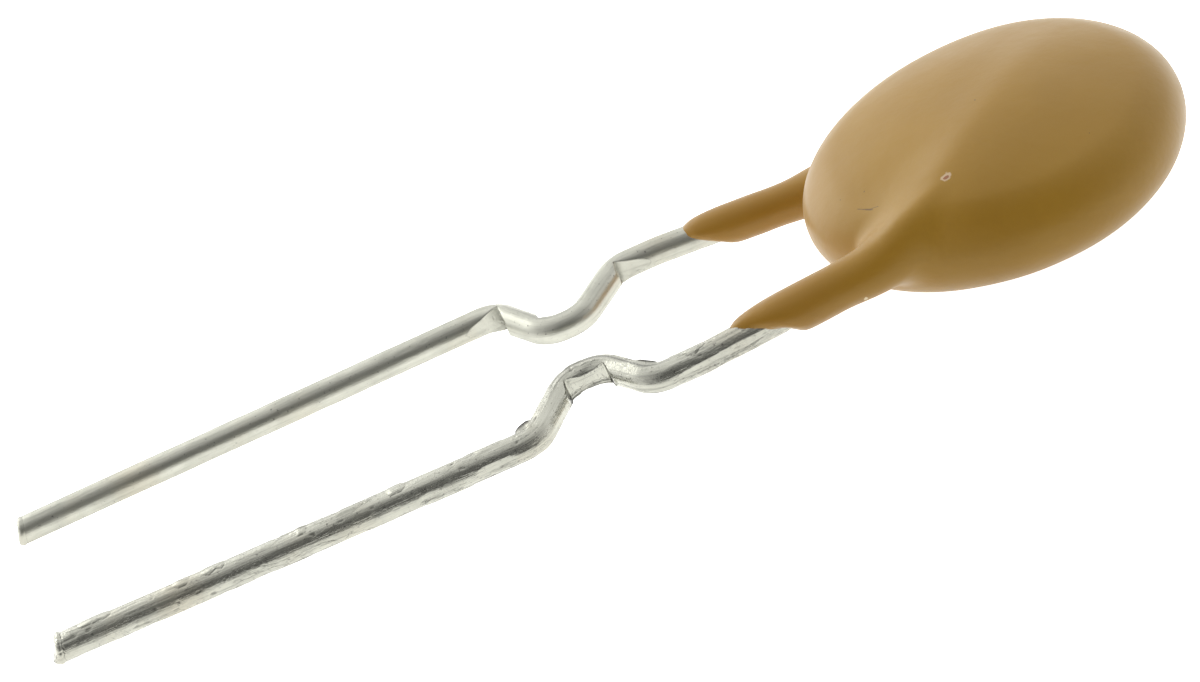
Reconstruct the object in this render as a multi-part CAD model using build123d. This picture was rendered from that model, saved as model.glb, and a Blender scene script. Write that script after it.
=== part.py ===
from build123d import *
from math import cos, radians, sin, tan
import os

# Resettable fuse with radial leads, in millimetres.
# X runs from the lead tips to the body, Y across the two leads, Z out of the body's front face.
# The origin is midway between the leads, where their kinks stop on the face of a circuit board.

# Wire and lead spacing
WIRE_DIAMETER = 0.51
LEAD_PITCH = 5.08
BODY_SIDE_PITCH = 4.66
TOE_IN_ANGLE = 0.75
FRONT_LEAD_REACH = 9.14
REAR_LEAD_REACH = 9.74
TIP_SHEAR_ANGLE = 14.0

# Kinks, formed towards each other between a pair of jaws and a mandrel
KINK_DEPTH = 1.17
FRONT_KINK_FLOOR_START = 0.85
FRONT_KINK_FLOOR_END = 1.53
FRONT_KINK_TOP = 2.25
REAR_KINK_FLOOR_START = 0.77
REAR_KINK_FLOOR_END = 1.45
REAR_KINK_TOP = 2.35
SHOULDER_RADIUS = 0.55
FLOOR_RADIUS = 0.6
PRESS_MARK_DEPTH = 0.05
JAW_NOSE_WIDTH = 0.75
JAW_FLANK_ANGLE = 25.0
MANDREL_NOSE_RADIUS = 0.4

# Above the kinks the leads close in a little, and then their tails turn across the chip's faces
CLOSE_IN_X = 3.2
CLOSE_IN_ANGLE = 6.5
CLOSE_IN_RADIUS = 2.5
TURN_X = 7.8
TAIL_ANGLE = 43.0
TURN_RADIUS = 1.6
TAIL_LENGTH = 3.4

# Chip, its foils and the solder
CHIP_DIAMETER = 4.9
CHIP_THICKNESS = 0.25
CHIP_X = 9.4
FOIL_THICKNESS = 0.035
SOLDER_FILM = 0.02
SOLDER_WIDTH = 1.0
SOLDER_HEIGHT = 0.32
SOLDER_START = 0.9
SOLDER_OVERRUN = 0.3
SOLDER_TAPER = 25.0

# Dip-coated body: an oval pebble, longer on the side of the leads
BODY_X = 9.5
BODY_OFFSET_Y = 0.1
BODY_OFFSET_Z = 0.1
BODY_LEAD_SIDE_LENGTH = 3.76
BODY_CROWN_SIDE_LENGTH = 3.265
BODY_WIDTH = 6.0
BODY_THICKNESS = 2.6
RIM_RADIUS = 0.95

# Coating legs on the leads, and the ridges that they run into over the lead tails
FRONT_LEG_WALL = 0.165
REAR_LEG_WALL = 0.13
LEG_END_WALL = 0.05
LEG_TAPER_LENGTH = 0.65
FRONT_LEG_END = 4.3
FRONT_LEG_END_SLANT = 63.0
FRONT_LEG_END_LEAN = 53.5
REAR_LEG_END = 4.25
REAR_LEG_END_SLANT = 50.0
REAR_LEG_END_LEAN = 74.0
LEG_ROOT_X = 6.6
LEG_ROOT_RADIUS = 0.47
RIDGE_STATIONS = [0.34, 1.36, 2.55, 3.4]
RIDGE_RADII = [0.64, 0.85, 0.68, 0.34]
RIDGE_TOPS = [-0.14, 0.07, -0.07, -0.42]

WIRE_RADIUS = WIRE_DIAMETER / 2
LEAD_Z = CHIP_THICKNESS / 2 + FOIL_THICKNESS + SOLDER_FILM + WIRE_RADIUS
CROWN_Z = BODY_THICKNESS / 2
FRONT = 1
REAR = -1


def body_side_point(face, x, z):
    """A point over a lead's body side, where it closes in on the other lead."""
    y = BODY_SIDE_PITCH / 2 - (x - CLOSE_IN_X) * tan(radians(CLOSE_IN_ANGLE))
    return (x, -face * y, z)


def tail_point(face, distance, z):
    """A point over a lead's tail, at a distance along it from where the lead turns."""
    turn = Vector(body_side_point(face, TURN_X, z))
    return tuple(turn + Vector(heading(face, TAIL_ANGLE)) * distance)


def heading(face, angle):
    """A direction towards the body, at an angle in from X."""
    return (cos(radians(angle)), face * sin(radians(angle)), 0)


def lead_points(face, reach, floor_start, floor_end, kink_top):
    """Corners of a lead's centre line, from its tip to the end of its tail."""
    z = face * LEAD_Z
    board_y = LEAD_PITCH / 2
    floor_y = board_y - KINK_DEPTH
    body_y = BODY_SIDE_PITCH / 2
    corners = [
        (-reach, board_y - reach * tan(radians(TOE_IN_ANGLE))),
        (0, board_y),
        (floor_start, floor_y),
        (floor_end, floor_y),
        (kink_top, body_y),
        (CLOSE_IN_X, body_y),
    ]
    points = [(x, -face * y, z) for x, y in corners]
    return points + [body_side_point(face, TURN_X, z), tail_point(face, TAIL_LENGTH, z)]


def jaw_nose(face, floor_start, floor_end):
    """The jaw's nose, which bit the outer side of the kink's floor."""
    middle = (floor_start + floor_end) / 2
    land_y = LEAD_PITCH / 2 - KINK_DEPTH + WIRE_RADIUS - PRESS_MARK_DEPTH
    back_y = land_y + WIRE_DIAMETER
    flank = (back_y - land_y) * tan(radians(JAW_FLANK_ANGLE))
    half = JAW_NOSE_WIDTH / 2
    outline = Polyline(
        (middle - half, -face * land_y),
        (middle + half, -face * land_y),
        (middle + half + flank, -face * back_y),
        (middle - half - flank, -face * back_y),
        close=True,
    )
    nose = extrude(make_face(outline), WIRE_DIAMETER, both=True)
    return Pos(0, 0, face * LEAD_Z) * nose


def mandrel_nose(before, corner, after):
    """The mandrel's round nose, which bit the inner side of a shoulder's bend."""
    to_before = (Vector(before) - Vector(corner)).normalized()
    to_after = (Vector(after) - Vector(corner)).normalized()
    inward = (to_before + to_after).normalized()
    half_angle = radians(to_before.get_angle(to_after) / 2)
    bend_depth = SHOULDER_RADIUS / sin(half_angle) - SHOULDER_RADIUS
    seat = bend_depth + WIRE_RADIUS + MANDREL_NOSE_RADIUS - PRESS_MARK_DEPTH
    return Pos(Vector(corner) + inward * seat) * Cylinder(MANDREL_NOSE_RADIUS, 2 * WIRE_DIAMETER)


def tip_shear(face, reach):
    """The cutter's slanted blade across the lead's tip."""
    size = 4 * WIRE_DIAMETER
    blade = Pos(-size / 2, 0, 0) * Box(size, size, size)
    place = Pos(WIRE_RADIUS / 2 - reach, -face * LEAD_PITCH / 2, face * LEAD_Z)
    return place * Rot(0, TIP_SHEAR_ANGLE, 0) * blade


def make_lead(face, reach, floor_start, floor_end, kink_top):
    """A lead: drawn round wire, kinked, pressed by the forming tool and sheared at its tip."""
    points = lead_points(face, reach, floor_start, floor_end, kink_top)
    kink_radii = [SHOULDER_RADIUS, FLOOR_RADIUS, FLOOR_RADIUS, SHOULDER_RADIUS]
    path = FilletPolyline(*points, radius=kink_radii + [CLOSE_IN_RADIUS, TURN_RADIUS])
    section = Plane(origin=path @ 0, z_dir=path % 0) * Circle(WIRE_RADIUS)
    wire = sweep(section, path=path)
    wire -= jaw_nose(face, floor_start, floor_end)
    wire -= mandrel_nose(*points[0:3])
    wire -= mandrel_nose(*points[3:6])
    return wire - tip_shear(face, reach)


def make_chip():
    """The disc of conductive polymer."""
    return Pos(CHIP_X, 0, 0) * Cylinder(CHIP_DIAMETER / 2, CHIP_THICKNESS)


def make_foil(face):
    """The metal foil bonded on one face of the chip."""
    z = face * (CHIP_THICKNESS + FOIL_THICKNESS) / 2
    return Pos(CHIP_X, 0, z) * Cylinder(CHIP_DIAMETER / 2, FOIL_THICKNESS)


def make_solder(face, lead):
    """The solder along the lead's tail, with the lead's own form taken out of it."""
    length = TAIL_LENGTH + SOLDER_OVERRUN - SOLDER_START
    foil_z = face * (CHIP_THICKNESS / 2 + FOIL_THICKNESS)
    middle = tail_point(face, SOLDER_START + length / 2, foil_z)
    base = Plane(origin=middle, x_dir=heading(face, TAIL_ANGLE), z_dir=(0, 0, face))
    mound = extrude(base * SlotOverall(length, SOLDER_WIDTH), SOLDER_HEIGHT, taper=SOLDER_TAPER)
    return mound - lead


def round_pebble():
    """A round pebble, with a full rim and shallow domes that run into each other."""
    flat = BODY_WIDTH / 2 - RIM_RADIUS
    rise = CROWN_Z - RIM_RADIUS
    upper = ThreePointArc((-flat, 0), (0, rise), (flat, 0))
    lower = ThreePointArc((flat, 0), (0, -rise), (-flat, 0))
    section = offset(make_face([upper, lower]), RIM_RADIUS, kind=Kind.ARC)
    section &= Pos(BODY_WIDTH / 2, 0) * Rectangle(BODY_WIDTH, 2 * BODY_THICKNESS)
    return revolve(Plane.XZ * section, axis=Axis.Z)


def make_pebble():
    """The oval body, drawn out further on the side of the leads than at its crown."""
    pebble = round_pebble()
    lead_half = split(pebble, bisect_by=Plane.YZ, keep=Keep.BOTTOM)
    crown_half = split(pebble, bisect_by=Plane.YZ, keep=Keep.TOP)
    lead_half = scale(lead_half, by=(2 * BODY_LEAD_SIDE_LENGTH / BODY_WIDTH, 1, 1), about=(0, 0, 0))
    crown_half = scale(crown_half, by=(2 * BODY_CROWN_SIDE_LENGTH / BODY_WIDTH, 1, 1), about=(0, 0, 0))
    return Pos(BODY_X, BODY_OFFSET_Y, BODY_OFFSET_Z) * (lead_half + crown_half)


def leg_section(face, x, radius):
    """A round section of a coating leg, about its lead."""
    centre = body_side_point(face, x, face * LEAD_Z)
    return Plane(origin=centre, z_dir=heading(face, CLOSE_IN_ANGLE)) * Circle(radius)


def ridge_section(face, station, radius, top):
    """A round section of the ridge over a lead's tail, with its top near the pebble's crown."""
    centre = tail_point(face, station, BODY_OFFSET_Z + face * (CROWN_Z + top - radius))
    return Plane(origin=centre, z_dir=heading(face, TAIL_ANGLE)) * Circle(radius)


def make_leg(face, end, wall):
    """A coating leg down a lead, which swells into the ridge over the lead's tail."""
    end_radius = WIRE_RADIUS + LEG_END_WALL
    full_radius = WIRE_RADIUS + wall
    full_start = end + LEG_TAPER_LENGTH
    sections = [
        leg_section(face, end - LEG_TAPER_LENGTH, end_radius),
        leg_section(face, end, (end_radius + full_radius) / 2),
        leg_section(face, full_start, full_radius),
        leg_section(face, (full_start + LEG_ROOT_X) / 2, full_radius),
        leg_section(face, LEG_ROOT_X, LEG_ROOT_RADIUS),
    ]
    for station, radius, top in zip(RIDGE_STATIONS, RIDGE_RADII, RIDGE_TOPS):
        sections.append(ridge_section(face, station, radius, top))
    return loft(sections)


def leg_end_cut(face, end, slant, lean):
    """What lies past the slanted edge where a leg's coating stops on the wire."""
    slant = radians(slant)
    lean = radians(lean)
    away = (-cos(slant), -sin(slant) * cos(lean), -sin(slant) * sin(lean))
    edge = Plane(origin=body_side_point(face, end, face * LEAD_Z), z_dir=away)
    return extrude(edge * Rectangle(LEAD_PITCH / 2, LEAD_PITCH / 2), LEAD_PITCH / 2)


def make_coating(inside):
    """The epoxy: pebble and legs in one, fitted closely round everything inside."""
    coating = make_pebble()
    coating += make_leg(FRONT, FRONT_LEG_END, FRONT_LEG_WALL)
    coating += make_leg(REAR, REAR_LEG_END, REAR_LEG_WALL)
    coating -= leg_end_cut(FRONT, FRONT_LEG_END, FRONT_LEG_END_SLANT, FRONT_LEG_END_LEAN)
    coating -= leg_end_cut(REAR, REAR_LEG_END, REAR_LEG_END_SLANT, REAR_LEG_END_LEAN)
    for piece in inside:
        coating -= piece
    return coating


front_lead = make_lead(
    FRONT, FRONT_LEAD_REACH, FRONT_KINK_FLOOR_START, FRONT_KINK_FLOOR_END, FRONT_KINK_TOP
)
rear_lead = make_lead(
    REAR, REAR_LEAD_REACH, REAR_KINK_FLOOR_START, REAR_KINK_FLOOR_END, REAR_KINK_TOP
)
pieces = {
    "front_lead": front_lead,
    "rear_lead": rear_lead,
    "ptc_chip": make_chip(),
    "front_electrode": make_foil(FRONT),
    "rear_electrode": make_foil(REAR),
    "front_solder_joint": make_solder(FRONT, front_lead),
    "rear_solder_joint": make_solder(REAR, rear_lead),
}
pieces["epoxy_coating"] = make_coating(list(pieces.values()))

os.makedirs("parts", exist_ok=True)
for name, piece in pieces.items():
    export_step(piece, "parts/" + name + ".step")
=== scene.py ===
"""Dresses the resettable fuse: its formed tin leads, its dip-coated body and the studio round it."""

import math

import bmesh
import bpy
import numpy as np
from bpy.props import FloatProperty, FloatVectorProperty, PointerProperty
from mathutils import Matrix, Vector, noise


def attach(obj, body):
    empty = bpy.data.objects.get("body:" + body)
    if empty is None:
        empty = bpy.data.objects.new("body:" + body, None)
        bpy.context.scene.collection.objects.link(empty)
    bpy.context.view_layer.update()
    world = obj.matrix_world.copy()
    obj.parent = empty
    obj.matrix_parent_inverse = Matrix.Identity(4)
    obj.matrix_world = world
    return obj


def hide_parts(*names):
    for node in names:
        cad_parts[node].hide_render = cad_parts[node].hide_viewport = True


bl_info = {
    "name": "Resettable fuse",
    "version": (1, 0, 0),
    "blender": (4, 5, 0),
    "location": "3D View > Sidebar > Fuse",
    "description": "Forms the leads, the dip coating and the studio of a resettable fuse",
    "category": "Object",
}

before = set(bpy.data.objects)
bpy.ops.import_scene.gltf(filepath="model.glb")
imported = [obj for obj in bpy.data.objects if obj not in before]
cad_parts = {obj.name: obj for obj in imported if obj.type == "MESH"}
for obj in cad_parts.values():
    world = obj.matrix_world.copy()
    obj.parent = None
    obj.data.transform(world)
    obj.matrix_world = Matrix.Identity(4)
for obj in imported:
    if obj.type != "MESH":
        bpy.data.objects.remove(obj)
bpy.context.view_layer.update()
MM = 0.001

# Lengths below are in millimetres, in the frame of the solids.
FRONT = 1
REAR = -1
BOARD_Y = 2.54
BODY_Y = 2.33
LEAD_Z = 0.435
TOE_IN = math.radians(0.75)
CLOSE_IN_X = 3.2
CLOSE_IN = math.radians(6.5)
TURN_X = 7.8
TAIL_TURN = math.radians(43.0)
TAIL_LENGTH = 3.4
BEND_RADII = (0.55, 0.6, 0.6, 0.55, 2.5, 1.6)

# Each lead: its reach below the board, its kink along X, how roughly its tin is scuffed, where the
# anvils' edges stood on its inner side and how deep they bit
LEADS = {
    "front": {
        "face": FRONT, "reach": 9.14, "floor": (0.85, 1.53), "kink_top": 2.25, "scuff": 1.0,
        "anvils": (-0.28, 2.42), "bite": 0.03},
    "rear": {
        "face": REAR, "reach": 9.74, "floor": (0.77, 1.45), "kink_top": 2.35, "scuff": 0.35,
        "anvils": (0.11, 2.35), "bite": 0.11},
}

# How closely the rings of a wire are drawn: where it shows, at its tip, and where the coating hides it
RING_SEGMENTS = 72
RING_STEP = 0.027
TIP_STEP = 0.012
TIP_LENGTH = 0.45
HIDDEN_STEP = 0.12
SHOWN_UP_TO = 5.6

# The jaw that formed the kinks, and the lips of metal that it raised
JAW_HALF_WIDTH = 0.375
JAW_FLANK = math.radians(9.0)
JAW_LIP = 0.05
PRESS_DEPTH = 0.05

# The anvils at the shoulders: their slope, how their bite runs out, and the metal that their edges
# curled up beside them on the scuffed lead
ANVIL_SLOPE = 0.13
ANVIL_TAPER = 0.18
ANVIL_LENGTH = 0.9
CURL_REACH = 0.32
CURL_MIDDLE = 0.15
CURL_HALF_LENGTH = 0.18
CURL_OUT_BOARD_SIDE = 0.11
CURL_OUT_BODY_SIDE = 0.06
CURL_UP = 0.03

# The cut tip: its slant, its rounding, and the lip and groove behind it
SHEAR_ANGLE = math.radians(14.0)
TIP_ROUNDING = 0.07
TIP_WORKED = 0.4
LIP_PLACE = 0.085
LIP_WIDTH = 0.04
GROOVE_PLACE = 0.14
GROOVE_WIDTH = 0.016

# Flats scraped along the front lead's lower side: from and to along X, facing this far up, and how deep
SCRAPES = ((-2.25, -1.8, 0.0, 0.016), (-1.15, -0.38, 4.0, 0.024), (2.65, 4.75, 0.0, 0.035))
SCRAPE_EDGE = 0.007

# The two opposite sides that rubbed on the forming tools, as a direction across and up from the wire's
# axis, and the strips of tin that tore loose along one of them, from and to along X
RUBBED = (0.59, 0.80)
TORN = ((-8.5, -7.85), (-6.68, -6.42), (-6.17, -5.72), (-4.4, -4.2), (-2.7, -2.35), (2.9, 3.3))
TORN_LIFT = 0.013
TORN_UNDERCUT = 0.006

# Body: an oval pebble about BODY_CENTRE, the steps of its outline, and the grain of the skin round it all
BODY_CENTRE = (9.5, 0.1, 0.1)
LEAD_SIDE_LENGTH = 3.76
CROWN_SIDE_LENGTH = 3.265
RIM_RADIUS = 0.95
DOME_STEPS = 14
RIM_STEPS = 22
ROUND_STEPS = 96
VOXEL = 0.042

# Coating legs: where each stops on its wire, how thick its wall is, the slanted plane it stops on, and
# how far beyond that place it may run out
LEGS = {
    "front": {"face": FRONT, "end": 4.3, "wall": 0.165, "slant": 67.0, "lean": 53.5, "blunt": -0.6},
    "rear": {"face": REAR, "end": 3.98, "wall": 0.13, "slant": 58.0, "lean": 74.0, "blunt": -0.2},
}
LEG_TAPER = 0.65
LEG_TAPER_SLOPE = 0.8
LEG_SEGMENTS = 48
LEG_STEPS = 10
EDGE_WANDER = 0.05
HIDDEN_DEPTH = 0.07
LEG_ROOT_X = 6.6
LEG_ROOT_RADIUS = 0.47
TAIL_STATIONS = ((0.3, 0.58, 0.53), (1.4, 0.6, 0.6), (2.6, 0.5, 0.5))

# Ridge over the front lead's tail: points along its crest, as x, y and height over the dome.
# The rear face has the same ridge after half a turn about X.
CREST = (
    (6.0, -2.12, 0.0), (6.6, -2.08, 0.05), (7.3, -1.96, 0.18), (8.3, -1.47, 0.19),
    (9.27, -0.66, 0.14), (10.1, 0.08, 0.10), (10.9, 0.85, 0.06), (11.5, 1.6, 0.02),
)
STEEP_FLANK = 0.68
EASY_FLANK = 1.4
END_FADE = 0.4
RIDGE_FOOT = 0.35
FOOT_FADE = 0.5

# Where the coat is thicker at the far leg's root, with its reach and height, and the spots with their
# reach where epoxy gathered beside the legs and where the ridges begin softly
SWELLING = ((6.5, 2.72, 0.0), 0.4, 0.12)
WEBS = (
    ((6.4, 2.65, -0.2), 0.8), ((7.3, -2.5, 0.3), 0.9), ((6.6, -1.5, 0.5), 0.5),
    ((7.4, -1.5, 1.0), 0.7), ((7.4, 1.5, -1.0), 0.7),
)
RIDGE_STARTS = (((7.15, -2.0, 0.95), 0.55), ((7.15, 2.0, -0.95), 0.55))
WAVE_DEPTH = 0.012
WAVE_SIZE = 1.3
WAVE_SEED = 5.0

# Marks on the epoxy: place, half sizes and turn about Z, where each fades out in its own size, colour
MARKS = (
    ((8.20, -1.59, 1.38), (0.10, 0.08, 0.3), 20, 0.8, 1.1, (0.66, 0.48, 0.30)),
    ((8.205, -1.60, 1.38), (0.05, 0.035, 0.3), 0, 0.8, 1.1, (0.36, 0.13, 0.06)),
    ((6.79, -1.05, 0.95), (0.25, 0.014, 0.4), -48, 0.5, 1.0, (0.17, 0.075, 0.01)),
    ((6.93, -1.14, 1.0), (0.10, 0.011, 0.4), -30, 0.5, 1.0, (0.14, 0.06, 0.008)),
    ((11.14, -2.44, 1.2), (0.03, 0.03, 0.1), 0, 0.6, 1.0, (0.10, 0.05, 0.01)),
    ((6.13, -2.39, 0.3), (0.04, 0.03, 0.2), 0, 0.6, 1.0, (0.85, 0.72, 0.45)),
)


# Settings


class FuseLeadSettings(bpy.types.PropertyGroup):
    """Sizes and colour of the formed leads."""

    wire_diameter: FloatProperty(
        name="Wire diameter", description="Diameter of the round tinned wire",
        default=0.51 * MM, unit="LENGTH", precision=5)
    kink_depth: FloatProperty(
        name="Kink depth", description="How far each kink steps in from the board holes",
        default=1.17 * MM, unit="LENGTH", precision=5)
    scuff_depth: FloatProperty(
        name="Scuff depth", description="How deep the scuffs in the tin are",
        default=0.011 * MM, unit="LENGTH", precision=6)
    tin_color: FloatVectorProperty(
        name="Tin colour", description="Colour of clean tin plating",
        default=(0.58, 0.58, 0.505), subtype="COLOR", min=0, max=1)


class FuseCoatingSettings(bpy.types.PropertyGroup):
    """Sizes and colours of the dip coating."""

    width: FloatProperty(
        name="Body width", description="Width of the body across the leads",
        default=6.0 * MM, unit="LENGTH", precision=5)
    thickness: FloatProperty(
        name="Body thickness", description="Thickness of the body at its crown",
        default=2.6 * MM, unit="LENGTH", precision=5)
    epoxy_color: FloatVectorProperty(
        name="Epoxy colour", description="Colour of the epoxy where it is thick",
        default=(0.372, 0.190, 0.011), subtype="COLOR", min=0, max=1)
    thin_color: FloatVectorProperty(
        name="Thin epoxy colour", description="Colour of the epoxy where it runs out thin on the wire",
        default=(0.38, 0.186, 0.013), subtype="COLOR", min=0, max=1)


class FuseStageSettings(bpy.types.PropertyGroup):
    """Floor and light of the studio."""

    floor_color: FloatVectorProperty(
        name="Floor colour", description="Colour of the plain floor",
        default=(0.93, 0.93, 0.92), subtype="COLOR", min=0, max=1)
    floor_glow: FloatProperty(
        name="Floor glow", description="Light that comes up through the opal floor",
        default=0.85, min=0)
    key_power: FloatProperty(
        name="Key light", description="Power of the large soft light",
        default=0.004, unit="POWER", precision=4)


# Node helpers


def new_material(name, base_color, metallic=0.0, roughness=0.4):
    """A material with an empty graph but for its surface shader."""
    material = bpy.data.materials.new(name)
    material.use_nodes = True
    surface = material.node_tree.nodes["Principled BSDF"]
    surface.inputs["Base Color"].default_value = (*base_color, 1)
    surface.inputs["Metallic"].default_value = metallic
    surface.inputs["Roughness"].default_value = roughness
    return material, surface


def add_node(surface, kind, inputs=(), **settings):
    """A node in the surface's graph; an input is a number, a colour or another node's socket."""
    tree = surface.id_data
    node = tree.nodes.new(kind)
    for name, value in settings.items():
        setattr(node, name, value)
    for name, value in dict(inputs).items():
        if isinstance(value, bpy.types.NodeSocket):
            tree.links.new(value, node.inputs[name])
        else:
            node.inputs[name].default_value = value
    return node


def place_of(surface):
    """The place on the piece, in its own coordinates."""
    return add_node(surface, "ShaderNodeTexCoord").outputs["Object"]


def scaled(surface, vector, scale):
    """A place with its axes scaled, which draws a noise out along an axis."""
    return add_node(surface, "ShaderNodeMapping", {"Vector": vector, "Scale": scale}).outputs[0]


def dot(surface, vector, direction):
    """How far a vector goes in a direction."""
    return add_node(surface, "ShaderNodeVectorMath", {0: vector, 1: direction},
                    operation="DOT_PRODUCT").outputs["Value"]


def combined(surface, first, second, operation="MULTIPLY"):
    """Two values multiplied, or put through another operation."""
    return add_node(surface, "ShaderNodeMath", {0: first, 1: second}, operation=operation).outputs[0]


def ramp(surface, fac, low, high, low_at, high_at):
    """A colour ramp between two greys or colours."""
    node = add_node(surface, "ShaderNodeValToRGB", {"Fac": fac})
    ends = node.color_ramp.elements
    for element, place, tone in zip(ends, (low_at, high_at), (low, high)):
        element.position = place
        element.color = (*tone, 1) if isinstance(tone, (tuple, list)) else (tone, tone, tone, 1)
    return node.outputs["Color"]


def graded(surface, value, start, stop, low=0.0, high=1.0):
    """A value that runs from low to high between two places, and stays level beyond them."""
    return add_node(surface, "ShaderNodeMapRange", {
        "Value": value, "From Min": start, "From Max": stop, "To Min": low, "To Max": high},
        clamp=True).outputs["Result"]


def mix_color(surface, fac, first, second, blend="MIX"):
    """Two colours mixed by a factor."""
    node = add_node(surface, "ShaderNodeMix", data_type="RGBA", blend_type=blend)
    tree = surface.id_data
    for socket, value in zip((node.inputs[0], node.inputs[6], node.inputs[7]), (fac, first, second)):
        if isinstance(value, bpy.types.NodeSocket):
            tree.links.new(value, socket)
        elif isinstance(value, (tuple, list)):
            socket.default_value = (*value, 1)
        else:
            socket.default_value = value
    return node.outputs[2]


def noise_of(surface, vector, scale, detail, rough, distortion=0.0):
    """A noise's factor, at a scale per metre."""
    node = add_node(surface, "ShaderNodeTexNoise", {
        "Vector": vector, "Scale": scale, "Detail": detail, "Roughness": rough,
        "Distortion": distortion})
    return node.outputs["Fac"]


def bump(surface, height, distance, strength, normal=None):
    """A bump of the surface by a height."""
    inputs = {"Height": height, "Distance": distance, "Strength": strength}
    if normal is not None:
        inputs["Normal"] = normal
    return add_node(surface, "ShaderNodeBump", inputs).outputs["Normal"]


def connect(surface, name, output):
    """Feeds a socket of the surface shader."""
    surface.id_data.links.new(output, surface.inputs[name])


# Finishes


def tin_finish(name, color, wear):
    """Tin plating on drawn wire: long streaks, dull patches, torn flakes, dark lines and pits, and painted
    shade where the wire's vertices carry it.
    """
    material, surface = new_material(name, color, metallic=1.0, roughness=0.3)
    unbent = add_node(surface, "ShaderNodeAttribute", attribute_name="unbent").outputs["Vector"]
    drawn = scaled(surface, unbent, (0.045, 1, 1))
    torn = scaled(surface, unbent, (0.22, 1, 1))
    streaks = noise_of(surface, drawn, 22000, 5, 0.6)
    lines = noise_of(surface, drawn, 9000, 3, 0.5)
    patches = noise_of(surface, unbent, 1500, 5, 0.62, 0.4)
    flakes = noise_of(surface, torn, 5200, 4, 0.6, 0.6)
    grains = noise_of(surface, unbent, 16000, 3, 0.6)
    tarnish = noise_of(surface, unbent, 620, 3, 0.5)
    toward = dot(surface, unbent, (0, *RUBBED))
    side = add_node(surface, "ShaderNodeMath", {0: toward}, operation="ABSOLUTE").outputs[0]
    rubbed = graded(surface, side, 0.13 * MM, 0.22 * MM, 0.12, 1.0)
    dulled = mix_color(surface, ramp(surface, patches, 0.0, 1.0, 0.38, 0.68), color,
                       tuple(0.86 * c for c in color))
    browned = mix_color(surface, ramp(surface, tarnish, 0.0, 0.45, 0.52, 0.72), dulled,
                        (0.90 * color[0], 0.82 * color[1], 0.72 * color[2]))
    cut = ramp(surface, lines, 0.0, 0.7 * wear, 0.59, 0.64)
    lined = mix_color(surface, combined(surface, cut, rubbed), browned, tuple(0.30 * c for c in color))
    fine = mix_color(surface, ramp(surface, streaks, 0.0, 0.28, 0.50, 0.64), lined,
                     tuple(0.6 * c for c in color))
    pits = ramp(surface, grains, 0.0, 1.0, 0.66 - 0.05 * wear, 0.76)
    pitted = mix_color(surface, pits, fine, (0.16, 0.155, 0.14))
    # Painted shade: the tin's colour darkens by each vertex's painted-shade weight, which is set at the
    # edges of tool bites, scrapes and torn strips, in the tip's groove and in pits
    painted_shade = add_node(surface, "ShaderNodeAttribute", attribute_name="painted_shade").outputs["Fac"]
    connect(surface, "Base Color", mix_color(surface, ramp(surface, painted_shade, 0.0, 1.0, 0.15, 0.85), pitted,
                                             (0.045, 0.042, 0.035)))
    rough = mix_color(surface, 0.5, ramp(surface, streaks, 0.40 - 0.26 * wear, 0.50 - 0.16 * wear, 0.3, 0.7),
                      ramp(surface, patches, 0.34 - 0.20 * wear, 0.54 - 0.18 * wear, 0.35, 0.7))
    connect(surface, "Roughness", rough)
    drawn_marks = bump(surface, streaks, 0.007 * MM * (0.4 + wear), 0.9)
    torn_up = ramp(surface, flakes, 0.0, 1.0, 0.53, 0.56)
    flaked = bump(surface, combined(surface, torn_up, rubbed), 0.012 * MM * wear, 0.9, drawn_marks)
    dimpled = bump(surface, patches, 0.008 * MM * wear, 0.8, flaked)
    connect(surface, "Normal", bump(surface, grains, 0.004 * MM * (0.4 + wear), 0.8, dimpled))
    return material


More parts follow.
